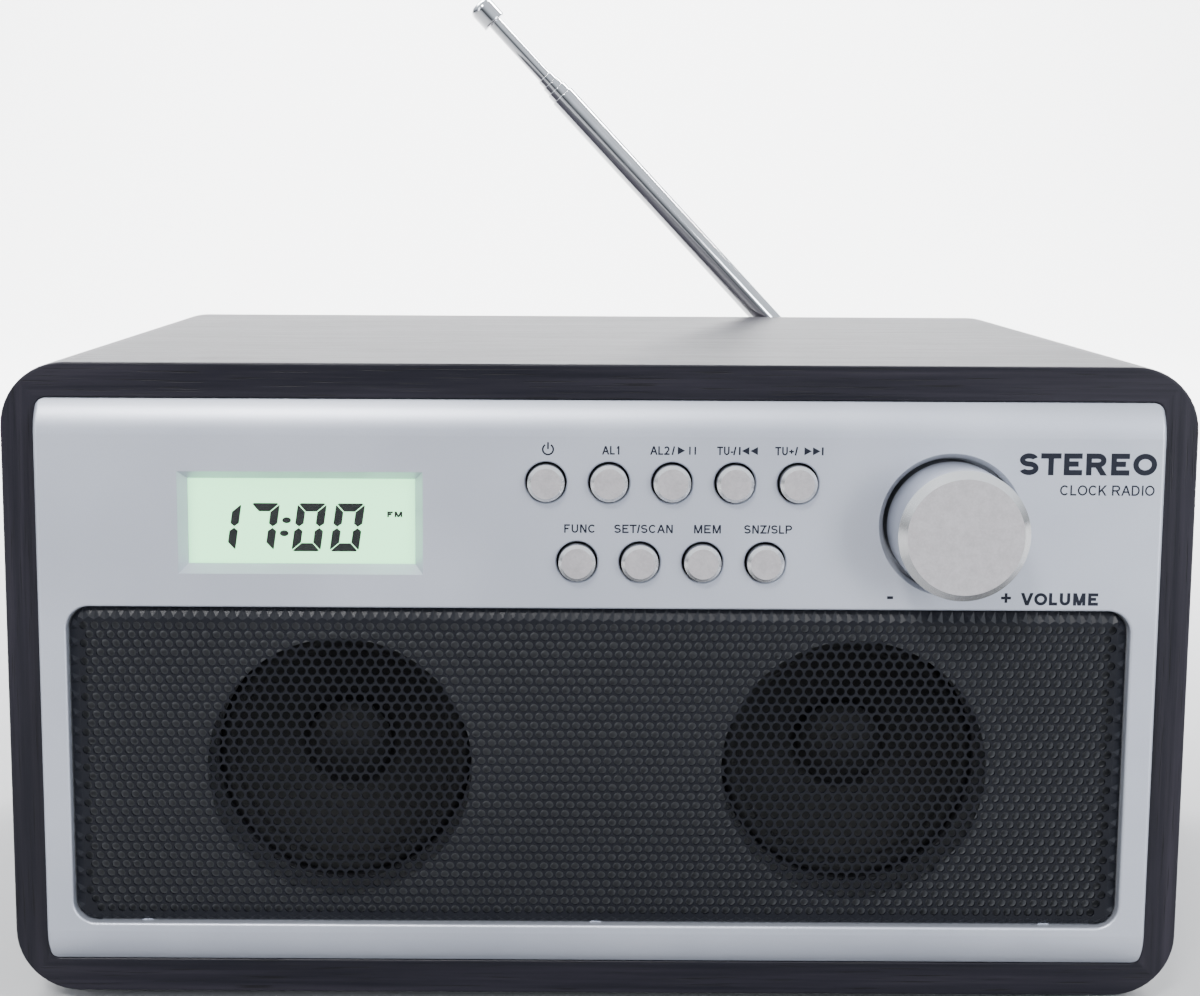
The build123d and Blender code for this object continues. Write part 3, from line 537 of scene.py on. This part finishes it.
def rim_walls(shared, back):
    """Wall along every cell edge that only one cell uses."""
    a = shared.ravel()
    b = np.roll(shared, -1, axis=1).ravel()
    used = set(zip(a.tolist(), b.tolist()))
    return [[q, p, p + back, q + back] for p, q in used if (q, p) not in used]


def make_grille():
    """The sheet's flat field and its folded rim, whose cells meet along cell edges."""
    centres, corners, pierced = grille_cells()
    half = (GRILLE_HIGH - GRILLE_LOW) / 2
    inside = (np.abs(centres[:, 0]) < half.x - 7 * MM) & (np.abs(centres[:, 1]) < half.z - 7 * MM)
    for name, chosen in (("speaker_grille_field", inside), ("speaker_grille_rim", ~inside)):
        points, faces = perforated_sheet(centres[chosen], corners[chosen], pierced[chosen])
        piece = add_piece(name, points, faces, "black_steel", "cabinet")
        if name == "speaker_grille_field":
            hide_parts("speaker_grille")


# ---- flat shapes: letters, signs and display segments, drawn in millimetres as outlines in (x, z)


def bar(x, z, width, height):
    """Upright rectangle from its lower left corner."""
    return [(x, z), (x + width, z), (x + width, z + height), (x, z + height)]


def slant(x0, z0, x1, z1, thick):
    """Stroke from a low place to a high one, its ends cut level."""
    half = thick * math.hypot(x1 - x0, z1 - z0) / abs(z1 - z0) / 2
    return [(x0 - half, z0), (x0 + half, z0), (x1 + half, z1), (x1 - half, z1)]


def arc(x, z, radius_x, radius_z, thick, start, stop, steps=14):
    """Part of an oval band, counterclockwise from start to stop in degrees. Its middle line is at
    (x + radius_x cos a, z + radius_z sin a), half the thickness inside the outer edge."""
    a = np.radians(np.linspace(start, stop, steps))
    edges = []
    for side, turn in ((thick / 2, a), (-thick / 2, a[::-1])):
        across = x + (radius_x + side) * np.cos(turn)
        edges.append(np.stack([across, z + (radius_z + side) * np.sin(turn)], 1))
    return np.concatenate(edges).tolist()


def oval(x, z, radius_x, radius_z):
    a = np.linspace(0, 2 * math.pi, 20, endpoint=False)
    return np.stack([x + radius_x * np.cos(a), z + radius_z * np.sin(a)], 1).tolist()


def triangle(x, z, size, way=1):
    """Play triangle whose flat side is at x; way is 1 to point right, -1 to point left."""
    outline = [(x, z - size / 2), (x + way * size * 0.92, z), (x, z + size / 2)]
    return outline if way > 0 else outline[::-1]


# Each letter: its width, the room it takes, and its strokes, all for a letter one high. Strokes run in a
# square from 0 to 1 both ways: | x from to, - z from to, / x z x z from low to high, ( x z rx rz start stop.
LETTERS = {
    "A": (0.94, 0.97, (("/", 0, 0, 0.5, 1), ("/", 1, 0, 0.5, 1), ("-", 0.33, 0.16, 0.84))),
    "C": (0.92, 1.03, (("(", 0.5, 0.5, 0.5, 0.5, 42, 318),)),
    "D": (0.82, 1.0, (("|", 0, 0, 1), ("-", 1, 0, 0.45), ("-", 0, 0, 0.45),
                      ("(", 0.45, 0.5, 0.55, 0.5, -90, 90))),
    "E": (0.75, 0.93, (("|", 0, 0, 1), ("-", 0, 0, 1), ("-", 0.52, 0, 0.93), ("-", 1, 0, 1))),
    "F": (0.68, 0.84, (("|", 0, 0, 1), ("-", 0.50, 0, 0.86), ("-", 1, 0, 1))),
    "H": (0.78, 1.0, (("|", 0, 0, 1), ("|", 1, 0, 1), ("-", 0.52, 0, 1))),
    "I": (0.13, 0.39, (("|", 0.5, 0, 1),)),
    "K": (0.86, 0.95, (("|", 0, 0, 1), ("/", 0, 0.28, 0.93, 1), ("/", 0.93, 0, 0.34, 0.62))),
    "L": (0.62, 0.77, (("|", 0, 0, 1), ("-", 0, 0, 1))),
    "M": (0.92, 1.14, (("|", 0, 0, 1), ("|", 1, 0, 1), ("/", 0.5, 0, 0.03, 1), ("/", 0.5, 0, 0.97, 1))),
    "N": (0.78, 1.0, (("|", 0, 0, 1), ("|", 1, 0, 1), ("/", 0.97, 0, 0.03, 1))),
    "O": (0.98, 1.09, (("(", 0.5, 0.5, 0.5, 0.5, 0, 180), ("(", 0.5, 0.5, 0.5, 0.5, 180, 360))),
    "P": (0.77, 0.93, (("|", 0, 0, 1), ("-", 0.46, 0, 0.6), ("-", 1, 0, 0.6),
                       ("(", 0.6, 0.73, 0.4, 0.27, -90, 90))),
    "R": (0.86, 1.0, (("|", 0, 0, 1), ("-", 0.47, 0, 0.58), ("-", 1, 0, 0.58),
                      ("(", 0.58, 0.735, 0.36, 0.265, -90, 90), ("/", 0.97, 0, 0.52, 0.47))),
    "S": (0.80, 0.93, (("(", 0.5, 0.755, 0.47, 0.245, 22, 270), ("(", 0.5, 0.255, 0.5, 0.255, -158, 90))),
    "T": (0.83, 0.87, (("|", 0.5, 0, 1), ("-", 1, 0, 1))),
    "U": (0.78, 1.0, (("|", 0, 0.36, 1), ("|", 1, 0.36, 1), ("(", 0.5, 0.36, 0.5, 0.36, 180, 360))),
    "V": (0.93, 0.96, (("/", 0.5, 0, 0, 1), ("/", 0.5, 0, 1, 1))),
    "X": (0.90, 0.94, (("/", 0.02, 0, 0.96, 1), ("/", 0.98, 0, 0.04, 1))),
    "Z": (0.77, 0.86, (("-", 0, 0, 1), ("-", 1, 0, 1), ("/", 0.05, 0, 0.95, 1))),
    "1": (0.36, 0.70, (("|", 1, 0, 1), ("/", 0, 0.74, 0.9, 1))),
    "2": (0.70, 0.78, (("-", 0, 0, 1), ("/", 0.05, 0, 0.86, 0.54), ("(", 0.48, 0.72, 0.48, 0.28, -38, 165))),
    "/": (0.40, 0.40, (("/", 0.05, 0, 0.95, 1),)),
    "-": (0.36, 0.46, (("-", 0.33, 0, 1),)),
    "+": (0.66, 0.80, (("-", 0.44, 0, 1), ("|", 0.5, 0.14, 0.74))),
    " ": (0.0, 0.40, ()),
}


def word(text, x, z, width, height, thick):
    """Outlines of a word width wide and height high, with its lower left corner at (x, z)."""
    ends = (LETTERS[text[0]], LETTERS[text[-1]])
    natural = sum(LETTERS[letter][1] for letter in text) - sum(room - ink for ink, room, _ in ends) / 2
    stretch = width / natural / height
    at = x - (ends[0][1] - ends[0][0]) / 2 * height * stretch
    outlines = []
    for letter in text:
        ink, room, strokes = LETTERS[letter]
        inner = max(ink * height * stretch - thick, 0)
        left = at + (room - ink) / 2 * height * stretch + thick / 2
        tall = height - thick
        low = z + thick / 2
        for kind, *values in strokes:
            if kind == "|":
                u, v0, v1 = values
                foot = thick / 2 * (v0 in (0, 1))
                ends_out = (v0 in (0, 1)) + (v1 in (0, 1))
                outlines.append(bar(left + u * inner - thick / 2, low + v0 * tall - foot, thick,
                                    (v1 - v0) * tall + thick / 2 * ends_out))
            elif kind == "-":
                v, u0, u1 = values
                outlines.append(bar(left + u0 * inner - thick / 2 * (u0 == 0), low + v * tall - thick / 2,
                                    (u1 - u0) * inner + thick / 2 * ((u0 == 0) + (u1 == 1)), thick))
            elif kind == "/":
                u0, v0, u1, v1 = values
                outlines.append(slant(left + u0 * inner, low + v0 * tall - thick / 2 * (v0 == 0),
                                      left + u1 * inner, low + v1 * tall + thick / 2 * (v1 == 1), thick))
            else:
                u, v, radius_u, radius_v, start, stop = values
                outlines.append(arc(left + u * inner, low + v * tall, radius_u * inner, radius_v * tall,
                                    thick, start, stop))
        at += room * height * stretch
    return outlines


def thin_sheet(name, outlines, y, thickness, finish, facing=-1):
    """Closed sheet over the union of outlines in millimetres, to a viewer's right of the middle and above the
    underside. Its back lies at y; its face stands thickness further out, towards -Y, or +Y with facing 1."""
    corners, loops = [], []
    for outline in outlines:
        loops.append(list(range(len(corners), len(corners) + len(outline))))
        corners += [Vector(corner) for corner in outline]
    found = mathutils.geometry.delaunay_2d_cdt(corners, [], loops, 1, 1e-4)
    flat = np.array([tuple(corner) for corner in found[0]])
    triangles = np.array([face for face, origin in zip(found[2], found[5]) if origin])
    a, b, c = (flat[triangles[:, k]] for k in range(3))
    turned = (b[:, 0] - a[:, 0]) * (c[:, 1] - a[:, 1]) < (b[:, 1] - a[:, 1]) * (c[:, 0] - a[:, 0])
    triangles[turned] = triangles[turned][:, ::-1]
    used, triangles = np.unique(triangles, return_inverse=True)
    flat, triangles = flat[used], triangles.reshape(-1, 3)
    count = len(flat)
    x = MIDDLE.x - facing * flat[:, 0] * MM
    z = UNDERSIDE_Z + flat[:, 1] * MM
    front = np.stack([x, np.full(count, y + facing * thickness), z], 1)
    back = np.stack([x, np.full(count, y), z], 1)
    starts, ends = triangles.ravel(), np.roll(triangles, -1, 1).ravel()
    edges = set(zip(starts.tolist(), ends.tolist()))
    walls = [[q, p, p + count, q + count] for p, q in edges if (q, p) not in edges]
    faces = triangles.tolist() + (triangles[:, ::-1] + count).tolist() + walls
    return add_piece(name, np.concatenate([front, back]), faces, finish, "cabinet")


LEGEND_H = 1.86
LEGEND_T = 0.33
ROW_1_Z = 123.12
ROW_2_Z = 105.98
ROW_1_WORDS = (("AL1", 0.55, 3.75), ("AL2", 10.9, 4.2), ("/", 15.5, 0.8), ("TU-", 25.3, 3.5),
               ("/", 28.75, 0.75), ("TU+", 37.8, 4.05), ("/", 42.0, 0.75))
ROW_2_WORDS = (("FUNC", -7.5, 6.85), ("SET/SCAN", 3.3, 12.7), ("MEM", 20.6, 5.8), ("SNZ/SLP", 31.4, 10.4))


PLAY_SIZE = 1.75
PLAY_LOW = ROW_1_Z + LEGEND_H / 2 - PLAY_SIZE / 2
SKIP_BAR = 0.38
PAUSE_BAR = 0.32
REAR_WORDS = (("DC IN", "dc_socket", 7.4), ("AUX", "aux_socket", 5.0), ("PHONES", "headphone_socket", 9.2))
REAR_ABOVE_SOCKET = 6.0


def key_signs():
    """Outlines of the play, pause and skip signs in the upper row and of the power sign."""
    level = ROW_1_Z + LEGEND_H / 2
    signs = [triangle(16.85, level, PLAY_SIZE)]
    signs += [bar(16.85 + shift, PLAY_LOW, PAUSE_BAR, PLAY_SIZE) for shift in (2.45, 3.6)]
    signs.append(bar(30.0, PLAY_LOW, SKIP_BAR, PLAY_SIZE))
    signs += [triangle(30.0 + shift, level, PLAY_SIZE, -1) for shift in (2.25, 4.1)]
    signs += [triangle(44.1 + shift, level, PLAY_SIZE) for shift in (0.0, 1.85)]
    signs.append(bar(47.85, PLAY_LOW, SKIP_BAR, PLAY_SIZE))
    signs.append(arc(-11.08, 124.2, 1.14, 1.14, 0.36, 122, 418, 30))
    signs.append(bar(-11.26, 124.25, 0.36, 1.5))
    return signs


def make_legends():
    """Words and signs over the keys, by the knob, at the panel's right and over the sockets behind."""
    keys = []
    for row_z, words in ((ROW_1_Z, ROW_1_WORDS), (ROW_2_Z, ROW_2_WORDS)):
        for text, x, width in words:
            keys += word(text, x, row_z, width, LEGEND_H, LEGEND_T)
    thin_sheet("key_legends", keys + key_signs(), FACE_Y, PRINT, "dark_print")
    signs = word("VOLUME", 91.8, 90.45, 16.8, 2.75, 0.68)
    signs.append(bar(62.75, 91.7, 1.3, 0.62))
    signs += [bar(87.5, 91.75, 2.15, 0.6), bar(88.28, 90.98, 0.6, 2.15)]
    thin_sheet("volume_legends", signs, FACE_Y, PRINT, "dark_print")
    titles = word("STEREO", 90.4, 119.1, 29.7, 4.8, 1.18)
    titles += word("CLOCK RADIO", 99.4, 114.7, 20.4, 2.25, 0.34)
    thin_sheet("panel_titles", titles, FACE_Y, PRINT, "dark_print")
    level = (middle("aux_socket").z - UNDERSIDE_Z) / MM + REAR_ABOVE_SOCKET
    rear = []
    for text, node, width in REAR_WORDS:
        rear += word(text, -(middle(node).x - MIDDLE.x) / MM - width / 2, level, width, 1.8, 0.26)
    thin_sheet("back_legends", rear, BACK_FACE, PRINT, "white_print", 1)


# ---- display figures

FIGURE_H = 10.7
FIGURE_W = 6.35
BAR_W = 1.85
GAP = 0.13
SLANT = math.tan(math.radians(8.4))
SEGMENTS = {"1": "BC", "7": "ABC", "0": "ABCDEF"}
FIGURES = (("1", 9.85), ("7", 18.25), ("0", 28.5), ("0", 36.85))
OPENING = (49.4, 18.8)


def segment(name):
    """One of seven segments of a figure FIGURE_W by FIGURE_H, corners mitred; the others are its mirrors."""
    w, h, t, g = FIGURE_W, FIGURE_H, BAR_W, GAP
    m = h / 2
    across = [(t + g, h - t), (w - t - g, h - t), (w - t * 0.1 - g, h - t * 0.12), (w - t * 0.35, h),
              (t * 0.35, h), (t * 0.1 + g, h - t * 0.12)]
    upright = [(w - t, m + t * 0.45), (w - t * 0.5, m + g), (w, m + t * 0.45), (w, h - t * 0.2 - g),
               (w - t * 0.12, h - t * 0.18 - g), (w - t, h - t - g)]
    outline = across if name in "AD" else upright
    flip_x, flip_z = name in "EF", name in "CDE"
    outline = [(w - x if flip_x else x, h - z if flip_z else z) for x, z in outline]
    return outline[::-1] if flip_x != flip_z else outline


def make_figures():
    """The time 17:00 in slanted seven-segment figures, with its colon and the band."""
    glass = (middle("display_window") - MIDDLE) / MM
    left = glass.x - OPENING[0] / 2
    top = (middle("display_window").z - UNDERSIDE_Z) / MM + OPENING[1] / 2
    base = top - 16.4
    outlines = []
    for figure, right in FIGURES:
        for name in SEGMENTS[figure]:
            start = left + right - FIGURE_W
            outlines.append([(start + x + z * SLANT, base + z) for x, z in segment(name)])
    outlines += [oval(left + 21.2, top - 9.5, 0.98, 0.68), oval(left + 20.65, top - 12.4, 0.98, 0.68)]
    outlines += word("FM", left + 43.2, top - 8.7, 3.3, 1.25, 0.40)
    thin_sheet("display_figures", outlines, CELL_LOW.y, 0.04 * MM, "lit_segment")


# ---------------------------------------------------------------- stage


FLOOR_FRONT = 2.4
FLOOR_SIDE = 4.0
SWEEP_START = 1.6
SWEEP_R = 1.2
SWEEP_TURN = 1.5


def floor_paint_and_shade(place, facing):
    """Pale matt paint, with painted shade that darkens it towards the front."""
    # Painted shade: the colour grades from pale at the back to darker at the front, standing in for less
    # light on the floor there.
    painted_shade_fade = place.axis("Y").step(-0.1, 0.9)
    cloud = place.noise(3, 2.0) * 0.04
    return {"Base Color": (painted_shade_fade + cloud).colour((0.28, 0.28, 0.285), (0.66, 0.66, 0.66)), "Roughness": 0.6}


def make_floor():
    """Pale sweep: flat floor that curves up far behind the radio."""
    flat_y = [-FLOOR_FRONT, *np.linspace(-1.0, SWEEP_START, 6)]
    turn = np.linspace(0, SWEEP_TURN, 14)[1:]
    profile_y = np.concatenate([flat_y, SWEEP_START + SWEEP_R * np.sin(turn)])
    profile_z = np.concatenate([np.zeros(len(flat_y)), SWEEP_R * (1 - np.cos(turn))])
    points = [(x, y, z) for y, z in zip(profile_y, profile_z) for x in (-FLOOR_SIDE, FLOOR_SIDE)]
    faces = [[2 * i, 2 * i + 1, 2 * i + 3, 2 * i + 2] for i in range(len(profile_y) - 1)]
    mesh = bpy.data.meshes.new("floor")
    mesh.from_pydata(points, [], faces)
    mesh.polygons.foreach_set("use_smooth", [True] * len(faces))
    floor = bpy.data.objects.new("floor", mesh)
    bpy.context.scene.collection.objects.link(floor)
    mesh.materials.append(material("floor_paint_and_shade", floor_paint_and_shade))


def softbox(name, place, target, width, height, power, colour=(1, 1, 1)):
    light = bpy.data.lights.new(name, "AREA")
    light.shape = "RECTANGLE"
    light.size = width
    light.size_y = height
    light.energy = power
    light.color = colour
    lamp = bpy.data.objects.new(name, light)
    lamp.location = place
    lamp.rotation_euler = (Vector(target) - Vector(place)).to_track_quat("-Z", "Y").to_euler()
    bpy.context.scene.collection.objects.link(lamp)


def make_lights():
    world = bpy.data.worlds.new("studio")
    world.use_nodes = True
    tree = world.node_tree
    background = tree.nodes["Background"]
    height = Shade(tree).node("ShaderNodeTexCoord", {}, {}, "Generated").axis("Z")
    tree.links.new(height.step(-0.05, 0.5).blend(0.10, 1.05).socket, background.inputs["Strength"])
    background.inputs["Color"].default_value = (0.84, 0.91, 1.0, 1)
    bpy.context.scene.world = world
    softbox("key", (-0.28, -0.90, 1.05), (0, 0, 0.08), 0.24, 0.24, 17)
    softbox("left", (-1.15, -1.15, 0.40), (0, 0, 0.12), 0.5, 0.9, 6, (0.88, 0.93, 1.0))
    softbox("right", (1.15, -1.15, 0.40), (0, 0, 0.12), 0.5, 0.9, 22, (0.88, 0.93, 1.0))
    softbox("backdrop_left", (-0.9, 0.9, 1.6), (-0.3, 2.4, 0.3), 1.2, 0.8, 240)
    softbox("backdrop_right", (0.9, 0.9, 1.6), (0.3, 2.4, 0.3), 1.2, 0.8, 240)


CAMERA_X = -9.35 * MM
CAMERA_BACK = 357.1 * MM
CAMERA_UP = 177.7 * MM
PITCH_DOWN = 0.11118
YAW = -0.00089
ROLL = -0.0049
LENS_MM = 49.89
SHIFT = (0.0376, -0.0943)


def make_camera():
    """Camera a little over the cabinet's top edge and near its middle, looking slightly down."""
    level_reach = math.cos(PITCH_DOWN)
    ahead = Vector((math.sin(YAW) * level_reach, math.cos(YAW) * level_reach, -math.sin(PITCH_DOWN)))
    level = Vector((math.cos(YAW), -math.sin(YAW), 0))
    down = ahead.cross(level)
    right = level * math.cos(ROLL) + down * math.sin(ROLL)
    below = down * math.cos(ROLL) - level * math.sin(ROLL)
    turn = Matrix((right, -below, -ahead)).transposed().to_4x4()
    data = bpy.data.cameras.new("camera")
    data.lens = LENS_MM
    data.sensor_width = 36
    data.sensor_fit = "HORIZONTAL"
    data.shift_x, data.shift_y = SHIFT
    data.clip_start = 0.01
    camera = bpy.data.objects.new("camera", data)
    spot = Vector((MIDDLE.x + CAMERA_X, FRONT_Y - CAMERA_BACK, UNDERSIDE_Z + CAMERA_UP))
    camera.matrix_world = Matrix.Translation(spot) @ turn
    bpy.context.scene.collection.objects.link(camera)
    bpy.context.scene.camera = camera


make_camera()
make_lights()
make_floor()
dress_nodes()
make_grille()
make_legends()
make_figures()
